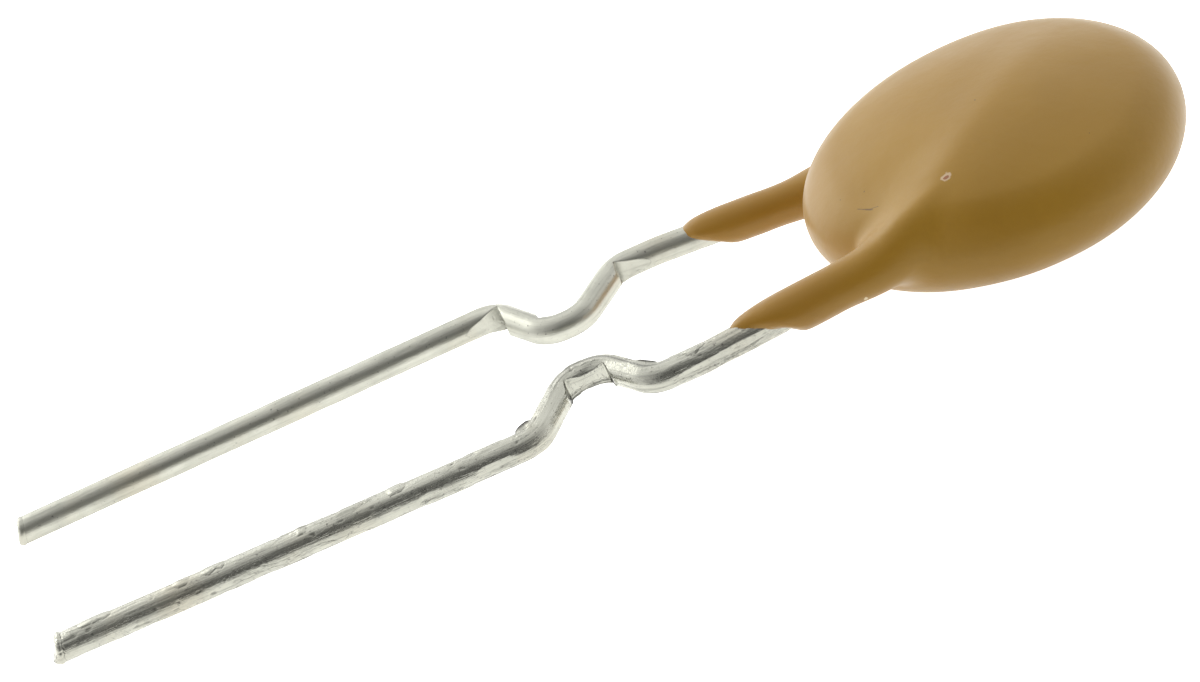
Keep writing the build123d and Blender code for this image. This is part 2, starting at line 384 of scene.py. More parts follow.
def epoxy_finish(color, thin_color):
    """Dip-coated epoxy: a satin skin with slight orange peel, warm clouds and a few specks."""
    material, surface = new_material("dipped_epoxy", color, roughness=0.34)
    place = place_of(surface)
    clouds = noise_of(surface, place, 420, 3, 0.5)
    fine = noise_of(surface, place, 9000, 2, 0.5)
    cloudy = mix_color(surface, ramp(surface, clouds, 0.0, 1.0, 0.35, 0.68), color,
                       (1.10 * color[0], 1.12 * color[1], 1.22 * color[2]))
    along = add_node(surface, "ShaderNodeSeparateXYZ", {"Vector": place}).outputs["X"]
    thinned = mix_color(surface, graded(surface, along, 7.2 * MM, 5.2 * MM), cloudy, thin_color)
    grit = noise_of(surface, place, 5200, 2, 0.5)
    specks = ramp(surface, grit, 0.0, 1.0, 0.775, 0.80)
    speckled = mix_color(surface, specks, thinned, (0.12, 0.06, 0.012))
    for spot, size, turn, inner, outer, tone in MARKS:
        own = add_node(surface, "ShaderNodeMapping", {
            "Vector": place, "Location": tuple(c * MM for c in spot),
            "Rotation": (0, 0, math.radians(turn)), "Scale": tuple(c * MM for c in size)},
            vector_type="TEXTURE").outputs[0]
        reach = add_node(surface, "ShaderNodeVectorMath", {0: own}, operation="LENGTH").outputs["Value"]
        ragged = combined(surface, graded(surface, fine, 0.35, 0.65, -0.3, 0.3), reach, "ADD")
        speckled = mix_color(surface, graded(surface, ragged, outer, inner), speckled, tone)
    connect(surface, "Base Color", speckled)
    smears = noise_of(surface, place, 900, 4, 0.6)
    connect(surface, "Roughness", ramp(surface, smears, 0.30, 0.42, 0.3, 0.7))
    surface.inputs["Specular IOR Level"].default_value = 0.46
    surface.inputs["Specular Tint"].default_value = (0.96, 1.0, 0.8, 1)
    surface.inputs["Sheen Weight"].default_value = 0.35
    surface.inputs["Sheen Roughness"].default_value = 0.5
    surface.inputs["Sheen Tint"].default_value = (1.0, 0.98, 0.82, 1)
    surface.inputs["Subsurface Weight"].default_value = 0.05
    surface.inputs["Subsurface Radius"].default_value = (0.3, 0.15, 0.05)
    surface.inputs["Subsurface Scale"].default_value = 0.4 * MM
    peel = noise_of(surface, place, 2600, 3, 0.5)
    peeled = bump(surface, peel, 0.010 * MM, 0.7)
    connect(surface, "Normal", bump(surface, fine, 0.0025 * MM, 0.6, peeled))
    return material


def carbon_finish():
    """The chip's carbon-filled polymer: matt, with fine grain."""
    material, surface = new_material("carbon_polymer", (0.028, 0.028, 0.03), roughness=0.7)
    place = place_of(surface)
    grain = noise_of(surface, place, 7000, 4, 0.6)
    connect(surface, "Base Color", mix_color(surface, grain, (0.018, 0.018, 0.02), (0.05, 0.05, 0.052)))
    connect(surface, "Roughness", ramp(surface, grain, 0.6, 0.85, 0.3, 0.7))
    connect(surface, "Normal", bump(surface, grain, 0.01 * MM, 0.7))
    return material


def foil_finish():
    """Nickel-plated foil: rolled lines and faint tarnish."""
    material, surface = new_material("nickel_foil", (0.66, 0.63, 0.56), metallic=1.0, roughness=0.4)
    place = place_of(surface)
    lines = noise_of(surface, scaled(surface, place, (0.05, 1, 1)), 12000, 4, 0.6)
    tarnish = noise_of(surface, place, 800, 4, 0.6)
    connect(surface, "Base Color", mix_color(surface, tarnish, (0.68, 0.65, 0.58), (0.52, 0.47, 0.38)))
    connect(surface, "Roughness", ramp(surface, lines, 0.28, 0.55, 0.3, 0.7))
    connect(surface, "Normal", bump(surface, lines, 0.004 * MM, 0.6))
    return material


def solder_finish():
    """Solidified solder: bright, with a soft frosted grain."""
    material, surface = new_material("frosted_solder", (0.70, 0.70, 0.69), metallic=1.0, roughness=0.35)
    place = place_of(surface)
    frost = noise_of(surface, place, 3200, 5, 0.65)
    connect(surface, "Base Color", mix_color(surface, frost, (0.60, 0.60, 0.60), (0.78, 0.78, 0.76)))
    connect(surface, "Roughness", ramp(surface, frost, 0.22, 0.5, 0.3, 0.7))
    connect(surface, "Normal", bump(surface, frost, 0.012 * MM, 0.7))
    return material


# The leads


def only(kind, geom):
    """The verts or edges of a mixed list."""
    return [g for g in geom if isinstance(g, kind)]


def heading(face, angle):
    """A direction towards the body, at an angle in from X."""
    return Vector((math.cos(angle), face * math.sin(angle), 0))


def body_side_point(face, x, z):
    """A point over a lead's body side, where it closes in on the other lead."""
    return Vector((x, -face * (BODY_Y - (x - CLOSE_IN_X) * math.tan(CLOSE_IN)), z))


def lead_corners(lead, kink_depth):
    """Corners of a lead's centre line, from below its tip to the end of its tail."""
    face = lead["face"]
    z = face * LEAD_Z
    start, end = lead["floor"]
    floor_y = BOARD_Y - kink_depth
    outline = [
        (-lead["reach"], BOARD_Y - lead["reach"] * math.tan(TOE_IN)),
        (0, BOARD_Y), (start, floor_y), (end, floor_y),
        (lead["kink_top"], BODY_Y), (CLOSE_IN_X, BODY_Y),
    ]
    corners = [Vector((x, -face * y, z)) for x, y in outline]
    turn = body_side_point(face, TURN_X, z)
    return corners + [turn, turn + heading(face, TAIL_TURN) * TAIL_LENGTH]


class WireDrawing:
    """A round wire drawn out ring by ring, along straight runs and round bends."""

    def __init__(self, start, direction, radius):
        self.bm = bmesh.new()
        layers = self.bm.verts.layers
        layers.float_vector.new("unbent")
        # Each vertex's weight of painted shade, which darkens the tin in creases, under torn edges and in
        # pits
        layers.float.new("painted_shade")
        self.unbent = layers.float_vector["unbent"]
        self.painted_shade = layers.float["painted_shade"]
        self.centre = start.copy()
        self.direction = direction.normalized()
        self.along = 0.0
        turned = Matrix.Translation(start) @ self.direction.to_track_quat("Z", "Y").to_matrix().to_4x4()
        made = bmesh.ops.create_circle(
            self.bm, cap_ends=True, segments=RING_SEGMENTS, radius=radius, matrix=turned)
        self.ring = made["verts"]
        self.note_ring()

    def side(self):
        """The direction across the wire in the plane of its bends."""
        return Vector((0, 0, 1)).cross(self.direction)

    def note_ring(self):
        """Writes each new vertex's place on the straight wire, before it was bent."""
        side = self.side()
        for vert in self.ring:
            offset = vert.co - self.centre
            vert[self.unbent] = (self.along, offset.dot(side), offset.z)

    def ring_edges(self):
        """The edges round the last ring."""
        last = set(self.ring)
        return [e for e in {e for v in self.ring for e in v.link_edges} if set(e.verts) <= last]

    def spacing(self):
        """How far apart the rings are: close at the tip, and wide where the coating hides them."""
        if self.along < TIP_LENGTH:
            return TIP_STEP
        return RING_STEP if self.centre.x < SHOWN_UP_TO else HIDDEN_STEP

    def run(self, length):
        """Draws the wire straight on."""
        while length > 1e-9:
            step = min(length, self.spacing())
            made = bmesh.ops.extrude_edge_only(self.bm, edges=self.ring_edges())
            self.ring = only(bmesh.types.BMVert, made["geom"])
            bmesh.ops.translate(self.bm, verts=self.ring, vec=self.direction * step)
            self.centre += self.direction * step
            self.along += step
            self.note_ring()
            length -= step

    def bend(self, radius, angle):
        """Bends the wire round a centre beside it, in small steps."""
        sense = math.copysign(1, angle)
        pivot = self.centre + self.side() * radius * sense
        steps = max(2, math.ceil(abs(angle) * radius / self.spacing()))
        turn = Matrix.Rotation(angle / steps, 3, "Z")
        for _ in range(steps):
            made = bmesh.ops.spin(
                self.bm, geom=self.ring + self.ring_edges(), cent=pivot, axis=(0, 0, 1),
                angle=angle / steps, steps=1)
            self.ring = only(bmesh.types.BMVert, made["geom_last"])
            self.centre = pivot + turn @ (self.centre - pivot)
            self.direction = turn @ self.direction
            self.along += abs(angle) * radius / steps
            self.note_ring()


def draw_lead(lead, radius, kink_depth):
    """A lead's wire, drawn along its corners."""
    corners = lead_corners(lead, kink_depth)
    legs = [b - a for a, b in zip(corners, corners[1:])]
    drawing = WireDrawing(corners[0], legs[0], radius)
    used = 0.0
    for before, after, bend_radius in zip(legs, legs[1:], BEND_RADII):
        angle = math.atan2(before.cross(after).z, before.dot(after))
        setback = bend_radius * math.tan(abs(angle) / 2)
        drawing.run(before.length - used - setback)
        drawing.bend(bend_radius, angle)
        used = setback
    drawing.run(legs[-1].length - used)
    bmesh.ops.edgeloop_fill(drawing.bm, edges=drawing.ring_edges())
    return drawing


def lip(gap, height, width=0.022):
    """How high the metal stands that a tool's edge pushed up, at a gap from the tool."""
    return height * math.exp(-(gap / width) ** 2)


def press_with_jaw(drawing, lead, radius, kink_depth):
    """Flattens the outer side of the kink's floor, where the forming jaw bit it and raised two lips."""
    face = lead["face"]
    middle = sum(lead["floor"]) / 2
    land = BOARD_Y - kink_depth + radius - PRESS_DEPTH
    for vert in drawing.bm.verts:
        beyond = abs(vert.co.x - middle) - JAW_HALF_WIDTH
        if beyond > radius:
            continue
        limit = land + max(0.0, beyond) / math.tan(JAW_FLANK)
        outward = -face * vert.co.y
        if outward > limit:
            vert.co.y = -face * limit
            vert.co.z += 0.35 * (outward - limit) * (1 if vert.co.z > face * LEAD_Z else -1)
            # Painted shade along the bite's edge, where its flank begins
            vert[drawing.painted_shade] = 0.9 if 0.0 < beyond < 0.035 else 0.0
        elif beyond > 0 and outward > land - 0.5 * radius:
            vert.co.y -= face * lip(limit - outward, JAW_LIP * lead["scuff"])


def press_with_anvils(drawing, lead, radius):
    """Presses the inner side at both shoulders, where the square-edged anvils held the wire."""
    face = lead["face"]
    middle = sum(lead["anvils"]) / 2
    for vert in drawing.bm.verts:
        side = 1 if vert.co.x > middle else -1
        edge = max(side * x for x in lead["anvils"])
        inside = side * vert.co.x - edge
        if not -CURL_REACH < inside < ANVIL_LENGTH:
            continue
        level = BODY_Y if side > 0 else BOARD_Y - vert.co.x * math.tan(TOE_IN)
        above = vert.co.z - face * LEAD_Z
        bite = lead["bite"] - ANVIL_TAPER * max(0.0, inside)
        limit = level - radius + bite + ANVIL_SLOPE * above * (-face)
        outward = -face * vert.co.y
        # Painted shade at the anvil's edge, and a lighter painted shade just beside the flat that it pressed
        if inside > 0 and outward < limit:
            vert.co.y = -face * limit
            vert[drawing.painted_shade] = 0.5 if inside < 0.02 else 0.0
        elif inside > 0 and outward < limit + 0.008:
            vert[drawing.painted_shade] = 0.3
        elif inside <= 0 and lead["scuff"] > 0.5 and face * vert[drawing.unbent].y > 0.55 * radius:
            curl = 1 - ((inside + CURL_MIDDLE) / CURL_HALF_LENGTH) ** 2
            if curl > 0:
                vert.co.y += face * (CURL_OUT_BOARD_SIDE if side < 0 else CURL_OUT_BODY_SIDE) * curl
                vert.co.z += CURL_UP * curl
                # Painted shade on the curled-up metal, deep near the anvil's edge and lighter further out
                vert[drawing.painted_shade] = 0.95 if inside > -0.28 else 0.3


def scrape(drawing, radius, start, end, upward, depth):
    """Scrapes a long lens-shaped flat along the side that faces away from the other lead."""
    upward = math.radians(upward)
    out_across, out_up = -math.cos(upward), math.sin(upward)
    for vert in drawing.bm.verts:
        place = (2 * vert.co.x - start - end) / (end - start)
        if abs(place) >= 1:
            continue
        _, across, up = vert[drawing.unbent]
        excess = across * out_across + up * out_up - radius + depth * math.sqrt(1 - place ** 2)
        if excess > 0:
            vert.co.y -= out_across * excess
            vert.co.z -= out_up * excess
        # Painted shade in a thin line along the flat's edge
        elif excess > -SCRAPE_EDGE:
            vert[drawing.painted_shade] = 0.5


def tear(drawing, radius, start, end):
    """Lifts a ragged strip of tin along the rubbed side, with painted shadow under its torn edge."""
    for vert in drawing.bm.verts:
        place = (2 * vert.co.x - start - end) / (end - start)
        if abs(place) >= 1:
            continue
        along, across, up = vert[drawing.unbent]
        height = (across * RUBBED[0] + up * RUBBED[1]) / radius
        ragged = 0.62 + 0.28 * place ** 4 + 0.22 * noise.noise(Vector((6 * along, start, 0)))
        over = height - ragged
        if over > 0:
            vert.co += vert.normal.copy() * TORN_LIFT * (1 - abs(place) ** 3)
        elif over > -0.06:
            vert.co -= vert.normal.copy() * TORN_UNDERCUT
            # Painted shadow where the wire sinks in under the strip's torn edge
            vert[drawing.painted_shade] = 0.6


def shear_tip(drawing, lead, radius):
    """Cuts the tip on a slant and closes it."""
    bm = drawing.bm
    face = lead["face"]
    place = Vector((radius / 2 - lead["reach"], 0, face * LEAD_Z))
    normal = Vector((math.cos(SHEAR_ANGLE), 0, -math.sin(SHEAR_ANGLE)))
    cut = bmesh.ops.bisect_plane(
        bm, geom=bm.verts[:] + bm.edges[:] + bm.faces[:], plane_co=place, plane_no=normal,
        clear_inner=True)
    bmesh.ops.edgeloop_fill(bm, edges=only(bmesh.types.BMEdge, cut["geom_cut"]))


def upset_tip(drawing, lead, radius):
    """Rolls the cut edge over into a thin lip with lines behind it, ragged where the tin is scuffed."""
    face = lead["face"]
    ragged = lead["scuff"] ** 2
    for vert in drawing.bm.verts:
        depth = vert.co.x + lead["reach"] - radius / 2 - (vert.co.z - face * LEAD_Z) * math.tan(SHEAR_ANGLE)
        if depth > TIP_WORKED:
            continue
        axis = Vector((vert.co.x, -face * (BOARD_Y + vert.co.x * math.tan(TOE_IN)), face * LEAD_Z))
        offset = vert.co - axis
        if offset.length < 0.6 * radius:
            continue
        wobble = noise.noise(7 * offset.normalized() + Vector((3 * face, 0, 0)))
        fray = noise.noise(16 * offset.normalized() + Vector((face, 5 * depth, 0)))
        lip_height = 0.003 + 0.012 * ragged * (1 + 2 * wobble)
        groove_place = GROOVE_PLACE + 0.04 * ragged * wobble
        height = lip_height * math.exp(-((depth - LIP_PLACE) / LIP_WIDTH) ** 2)
        height -= (0.003 + 0.009 * ragged) * math.exp(-((depth - groove_place) / GROOVE_WIDTH) ** 2)
        height += 0.012 * ragged * fray * math.exp(-depth / 0.10)
        short = max(0.0, 1 - max(0.0, depth) / TIP_ROUNDING)
        height -= TIP_ROUNDING * (1 - math.sqrt(1 - short ** 2))
        vert.co += offset.normalized() * height
        # Painted shade in the groove behind the lip, darker where the tip is ragged
        if abs(depth - groove_place) < 0.009:
            vert[drawing.painted_shade] = 0.25 + 0.35 * ragged
        if offset.z < 0:
            vert.co.x -= 0.05 * ragged * math.exp(-depth / 0.05) * min(1.0, -offset.z / radius)


def rise(value, low, high):
    """0 below a low value, 1 above a high one, and smooth between."""
    share = min(1.0, max(0.0, (value - low) / (high - low)))
    return share * share * (3 - 2 * share)


def scuff(drawing, lead, radius, depth):
    """Works drawn ridges into the tin, and flakes and pits mostly where it rubbed on the tools."""
    seed = 3.7 if lead["face"] == FRONT else 41.3
    amount = depth * lead["scuff"]
    for vert in drawing.bm.verts:
        along, across, up = vert[drawing.unbent]
        if vert.co.x > SHOWN_UP_TO or along == 0.0:
            continue
        side = abs(across * RUBBED[0] + up * RUBBED[1]) / radius
        bent = rise(vert.co.x, -0.5, 0.0)
        worn = max(rise(side, 0.5, 0.85), 0.4 * bent)
        streak = noise.noise(Vector((0.25 * along + seed, 15 * across, 15 * up)))
        broad = noise.noise(Vector((0.8 * along - seed, 5 * across, 5 * up)))
        flake = noise.noise(Vector((1.6 * along + 2 * seed, 8 * across, 8 * up)))
        pit = noise.noise(Vector((5.0 * along - seed, 12 * across, 12 * up)))
        height = (0.22 + 0.5 * worn) * streak + (0.10 + 0.35 * worn) * broad
        height += 0.9 * worn * rise(flake, 0.10, 0.15)
        dent = rise(pit, 0.56 - 0.05 * worn, 0.64)
        vert.co += vert.normal.copy() * (height - 0.8 * dent) * amount
        # Painted shade in the pits, more on the scuffed lead; a deeper painted shade already set stays
        vert[drawing.painted_shade] = max(vert[drawing.painted_shade], 0.5 * dent * lead["scuff"])


def add_object(name, data):
    """A new object in the scene."""
    made = bpy.data.objects.new(name, data)
    bpy.context.scene.collection.objects.link(made)
    return made


def mesh_object(name, bm, material):
    """A smooth-shaded object from a mesh in millimetres, its place in its mesh."""
    bmesh.ops.recalc_face_normals(bm, faces=bm.faces)
    bmesh.ops.transform(bm, matrix=Matrix.Scale(MM, 4), verts=bm.verts)
    for poly in bm.faces:
        poly.smooth = True
    mesh = bpy.data.meshes.new(name)
    bm.to_mesh(mesh)
    bm.free()
    mesh.materials.append(material)
    return add_object(name, mesh)


class FUSE_OT_form_leads(bpy.types.Operator):
    """Forms both leads: drawn, kinked, pressed, sheared and scuffed"""

    bl_idname = "fuse.form_leads"
    bl_label = "Form the leads"

    def execute(self, context):
        settings = context.scene.fuse_leads
        radius = settings.wire_diameter / 2 / MM
        kink_depth = settings.kink_depth / MM
        for name, lead in LEADS.items():
            drawing = draw_lead(lead, radius, kink_depth)
            bm = drawing.bm
            press_with_jaw(drawing, lead, radius, kink_depth)
            press_with_anvils(drawing, lead, radius)
            if lead["face"] == FRONT:
                for flat in SCRAPES:
                    scrape(drawing, radius, *flat)
            shear_tip(drawing, lead, radius)
            upset_tip(drawing, lead, radius)
            bmesh.ops.recalc_face_normals(bm, faces=bm.faces)
            bm.normal_update()
            if lead["face"] == FRONT:
                for strip in TORN:
                    tear(drawing, radius, *strip)
            scuff(drawing, lead, radius, settings.scuff_depth / MM)
            for vert in bm.verts:
                vert[drawing.unbent] = vert[drawing.unbent] * MM
            finish = tin_finish(name + "_tin", tuple(settings.tin_color), lead["scuff"])
            piece = mesh_object(name + "_formed_lead", bm, finish)
            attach(piece, "root")
            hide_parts(name + "_lead")
        return {"FINISHED"}


# The dip coating


def spin_profile(bm, vert, centre, angle, steps):
    """Carries a profile on from a vertex, round a centre in the XZ plane."""
    made = bmesh.ops.spin(bm, geom=[vert], cent=centre, axis=(0, 1, 0), angle=angle, steps=steps)
    return only(bmesh.types.BMVert, made["geom_last"])[0]


def make_pebble(width, thickness):
    """The oval body: two shallow domes that run into a full rim, drawn out towards the leads."""
    flat = width / 2 - RIM_RADIUS
    dome_height = thickness / 2 - RIM_RADIUS
    lens_radius = (flat ** 2 + dome_height ** 2) / (2 * dome_height)
    dome_angle = math.asin(flat / lens_radius)
    drop = lens_radius - dome_height
    bm = bmesh.new()
    vert = bm.verts.new((0, 0, thickness / 2))
    vert = spin_profile(bm, vert, (0, 0, -drop), dome_angle, DOME_STEPS)
    vert = spin_profile(bm, vert, (flat, 0, 0), math.pi - 2 * dome_angle, RIM_STEPS)
    spin_profile(bm, vert, (0, 0, drop), dome_angle, DOME_STEPS)
    bmesh.ops.spin(
        bm, geom=bm.verts[:] + bm.edges[:], cent=(0, 0, 0), axis=(0, 0, 1),
        angle=2 * math.pi, steps=ROUND_STEPS, use_merge=True)
    bmesh.ops.remove_doubles(bm, verts=bm.verts, dist=1e-5)
    lead_side = [v for v in bm.verts if v.co.x < 0]
    crown_side = [v for v in bm.verts if v.co.x > 0]
    bmesh.ops.scale(bm, verts=lead_side, vec=(2 * LEAD_SIDE_LENGTH / width, 1, 1))
    bmesh.ops.scale(bm, verts=crown_side, vec=(2 * CROWN_SIDE_LENGTH / width, 1, 1))
    bmesh.ops.translate(bm, verts=bm.verts, vec=BODY_CENTRE)
    bmesh.ops.recalc_face_normals(bm, faces=bm.faces)
    return bm


def leg_stations(leg, wire_radius):
    """Centre, direction and radius of each section along a coating leg, into the body."""
    face = leg["face"]
    z = face * LEAD_Z
    end = leg["end"]
    full = wire_radius + leg["wall"]
    rows = [
        (end - 1.6 * LEG_TAPER, full), (end, full), (end + LEG_TAPER, full),
        ((end + LEG_TAPER + LEG_ROOT_X) / 2, full), (LEG_ROOT_X, LEG_ROOT_RADIUS),
    ]
    stations = [(body_side_point(face, x, z), heading(face, CLOSE_IN), r) for x, r in rows]
    turn = body_side_point(face, TURN_X, 0)
    for distance, radius, depth in TAIL_STATIONS:
        centre = turn + heading(face, TAIL_TURN) * distance + Vector((0, 0, face * depth))
        stations.append((centre, heading(face, TAIL_TURN), radius))
    return stations


def smooth_through(values, steps):
    """Values on a smooth curve through a row of values, with some steps between each pair."""
    rows = [np.array(v, float) for v in values]
    rows = [2 * rows[0] - rows[1]] + rows + [2 * rows[-1] - rows[-2]]
    out = []
    for a, b, c, d in zip(rows, rows[1:], rows[2:], rows[3:]):
        for i in range(steps):
            t = i / steps
            out.append(0.5 * (2 * b + (c - a) * t + (2 * a - 5 * b + 4 * c - d) * t ** 2
                              + (3 * b - a - 3 * c + d) * t ** 3))
    return out + [rows[-2]]


def make_leg(leg, wire_radius):
    """A coating leg: rings bridged along its stations, run out on the slant where it ends."""
    stations = leg_stations(leg, wire_radius)
    rows = smooth_through([(*c, *d, r) for c, d, r in stations], LEG_STEPS)
    bm = bmesh.new()
    rings = []
    for row in rows:
        centre, direction, radius = Vector(row[0:3]), Vector(row[3:6]), row[6]
        place = Matrix.Translation(centre) @ direction.to_track_quat("Z", "Y").to_matrix().to_4x4()
        made = bmesh.ops.create_circle(bm, segments=LEG_SEGMENTS, radius=radius, matrix=place)
        rings.append(list({e for v in made["verts"] for e in v.link_edges}))
    run_out(bm, leg, wire_radius)
    for first, second in zip(rings, rings[1:]):
        bmesh.ops.bridge_loops(bm, edges=first + second)
    bmesh.ops.edgeloop_fill(bm, edges=rings[0])
    bmesh.ops.edgeloop_fill(bm, edges=rings[-1])
    bmesh.ops.recalc_face_normals(bm, faces=bm.faces)
    return bm


def run_out(bm, leg, wire_radius):
    """Rounds a leg's coat down to the wire along its slanted edge, and sinks it into the wire beyond."""
    slant, lean = math.radians(leg["slant"]), math.radians(leg["lean"])
    away = Vector((-math.cos(slant), -math.sin(slant) * math.cos(lean), -math.sin(slant) * math.sin(lean)))
    origin = body_side_point(leg["face"], leg["end"], leg["face"] * LEAD_Z)
    ahead = heading(leg["face"], CLOSE_IN)
    for vert in bm.verts:
        along = (vert.co - origin).dot(ahead)
        if along > 2 * LEG_TAPER:
            continue
        axis = origin + ahead * along
        outward = (vert.co - axis).normalized()
        edge = -wire_radius * away.dot(outward) / away.dot(ahead)
        wander = EDGE_WANDER * noise.noise(4 * outward + Vector((leg["end"], 0, 0)))
        edge = max(leg["blunt"], edge) + wander
        taper = LEG_TAPER - LEG_TAPER_SLOPE * edge
        share = (along - edge) / taper
        if share < 0:
            reach = wire_radius - min(HIDDEN_DEPTH, -4 * HIDDEN_DEPTH * share)
        else:
            reach = wire_radius + leg["wall"] * math.sqrt(1 - (1 - min(1.0, share)) ** 2)
        vert.co = axis + outward * reach


def fused_mesh(parts, voxel):
    """One skin round all the parts."""
    joined = bmesh.new()
    for part in parts:
        held = bpy.data.meshes.new("held")
        part.to_mesh(held)
        part.free()
        joined.from_mesh(held)
        bpy.data.meshes.remove(held)
    mesh = bpy.data.meshes.new("fused")
    joined.to_mesh(mesh)
    joined.free()
    holder = add_object("fused", mesh)
    remesh = holder.modifiers.new("skin", "REMESH")
    remesh.mode = "VOXEL"
    remesh.voxel_size = voxel
    seen = holder.evaluated_get(bpy.context.evaluated_depsgraph_get())
    skin = bpy.data.meshes.new_from_object(seen)
    bpy.data.objects.remove(holder)
    bpy.data.meshes.remove(mesh)
    return skin


class Skin:
    """The coating's skin as arrays, for smoothing and for the small forms on it."""

    def __init__(self, mesh):
        self.mesh = mesh
        count = len(mesh.vertices)
        self.co = np.empty(count * 3)
        mesh.vertices.foreach_get("co", self.co)
        self.co = self.co.reshape(-1, 3)
        edges = np.empty(len(mesh.edges) * 2, np.int64)
        mesh.edges.foreach_get("vertices", edges)
        self.ends = edges.reshape(-1, 2)
        self.degree = np.bincount(self.ends.ravel(), minlength=count)[:, None]

    def normals(self):
        """Vertex normals of the skin as it now is."""
        self.mesh.vertices.foreach_set("co", self.co.ravel())
        self.mesh.update()
        out = np.empty(len(self.co) * 3, np.float32)
        self.mesh.vertices.foreach_get("normal", out)
        return out.reshape(-1, 3).astype(float)

    def pull(self):
        """From each vertex to the middle of its neighbours."""
        a, b = self.ends.T
        total = np.stack([
            np.bincount(a, self.co[b, k], len(self.co)) + np.bincount(b, self.co[a, k], len(self.co))
            for k in range(3)], axis=1)
        return total / self.degree - self.co

    def smooth(self, rounds, weight=1.0):
        """Relaxes the skin."""
        for _ in range(rounds):
            self.co += 0.5 * weight * self.pull()

    def fill_valleys(self, rounds, weight):
        """Lets epoxy gather in the hollows, without wearing down what stands out."""
        for turn in range(rounds):
            if turn % 10 == 0:
                normals = self.normals()
            pull = self.pull()
            outward = (pull * normals).sum(1, keepdims=True)
            self.co += 0.5 * weight * (pull - outward * normals)
            self.co += weight * np.maximum(0.0, outward) * normals


def near(points, spot, reach):
    """1 at a spot, falling off softly to 0 round it."""
    distance = np.linalg.norm(points - np.array(spot), axis=1)
    return np.exp(-(distance / reach) ** 2)


def near_any(points, spots):
    """Nearness to the nearest of some spots, each with its reach."""
    return np.maximum.reduce([near(points, spot, reach) for spot, reach in spots])[:, None]


def raise_ridge(skin, face):
    """Lifts the coat over a lead's tail: steep on the side of the leads, easing off on the other."""
    crest = np.array(smooth_through(CREST, 8)) * (1, face, 1)
    dx = skin.co[:, 0, None] - crest[:, 0]
    dy = skin.co[:, 1, None] - crest[:, 1]
    nearest = np.hypot(dx, dy).argmin(axis=1)
    ahead = np.gradient(crest[:, :2], axis=0)
    ahead /= np.linalg.norm(ahead, axis=1, keepdims=True)
    rows = np.arange(len(skin.co))
    along = ahead[nearest]
    off = dx[rows, nearest], dy[rows, nearest]
    aside = face * (along[:, 0] * off[1] - along[:, 1] * off[0])
    past = np.abs(along[:, 0] * off[0] + along[:, 1] * off[1])
    flank = np.where(aside > 0, STEEP_FLANK, EASY_FLANK)
    form = crest[nearest, 2] * np.exp(-(aside / flank) ** 2 - (past / END_FADE) ** 2)
    up = face * skin.normals()[:, 2]
    outer = np.clip((face * (skin.co[:, 2] - BODY_CENTRE[2]) - RIDGE_FOOT) / FOOT_FADE, 0, 1)
    skin.co[:, 2] += face * form * outer * np.clip((up - 0.2) / 0.5, 0, 1)


def shape_skin(skin):
    """Blends the legs into the body, raises the ridges and adds the unevenness of a dipped coat."""
    skin.smooth(4)
    raise_ridge(skin, FRONT)
    raise_ridge(skin, REAR)
    swell(skin, *SWELLING)
    skin.fill_valleys(160, near_any(skin.co, WEBS))
    skin.smooth(50, near_any(skin.co, RIDGE_STARTS))
    skin.smooth(7)


def swell(skin, spot, reach, height):
    """Thickens the coat softly at a spot."""
    skin.co += height * near(skin.co, spot, reach)[:, None] * skin.normals()


def waver(skin, depth, size, seed):
    """Lets the coat's surface rise and fall a little, as a dipped coat does."""
    normals = skin.normals()
    lift = np.array([noise.noise(Vector(p) / size + Vector((seed, 0, 0))) for p in skin.co])
    skin.co += depth * lift[:, None] * normals


class FUSE_OT_dip_body(bpy.types.Operator):
    """Dips the body: pebble, legs and ridges in one skin of epoxy"""

    bl_idname = "fuse.dip_body"
    bl_label = "Dip the body"

    def execute(self, context):
        settings = context.scene.fuse_coating
        radius = context.scene.fuse_leads.wire_diameter / 2 / MM
        width, thickness = settings.width / MM, settings.thickness / MM
        parts = [make_pebble(width, thickness)]
        parts += [make_leg(leg, radius) for leg in LEGS.values()]
        skin = Skin(fused_mesh(parts, VOXEL))
        shape_skin(skin)
        waver(skin, WAVE_DEPTH, WAVE_SIZE, WAVE_SEED)
        skin.normals()
        bm = bmesh.new()
        bm.from_mesh(skin.mesh)
        finish = epoxy_finish(tuple(settings.epoxy_color), tuple(settings.thin_color))
        piece = mesh_object("dipped_body", bm, finish)
        bpy.data.meshes.remove(skin.mesh)
        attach(piece, "root")
        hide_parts("epoxy_coating")
        return {"FINISHED"}


# What the coating hides


class FUSE_OT_finish_inside(bpy.types.Operator):
    """Gives the chip, foils and solder inside the coating their finishes"""

    bl_idname = "fuse.finish_inside"
    bl_label = "Finish the inside"

    def execute(self, context):
        foil, solder = foil_finish(), solder_finish()
        finishes = {
            "ptc_chip": carbon_finish(), "front_electrode": foil, "rear_electrode": foil,
            "front_solder_joint": solder, "rear_solder_joint": solder,
        }
        for node, finish in finishes.items():
            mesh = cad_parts[node].data
            mesh.materials.clear()
            mesh.materials.append(finish)
        return {"FINISHED"}


# The stage

# The camera that was fitted to the photograph: its place in millimetres, its directions and its lens
CAMERA_PLACE = (3.628, -54.338, 40.134)
CAMERA_RIGHT = (0.91306863, -0.22011627, -0.34329944)
CAMERA_UP = (0.40672033, 0.55290732, 0.72723591)
CAMERA_BACK = (0.02973632, -0.80364316, 0.59436809)
CAMERA_LENS = 114.88
CAMERA_SENSOR = 36.0

# The floor: its size in metres, its glow as the camera sees it, as it lights dull surfaces, and in the
# shade on the camera's side, which is full from this far out in millimetres
FLOOR_SIZE = 1.5
SEEN_GLOW = 1.4
DULL_GLOW = 0.5
SHADED_GLOW = 0.2
FULL_SHADE_FROM = -11

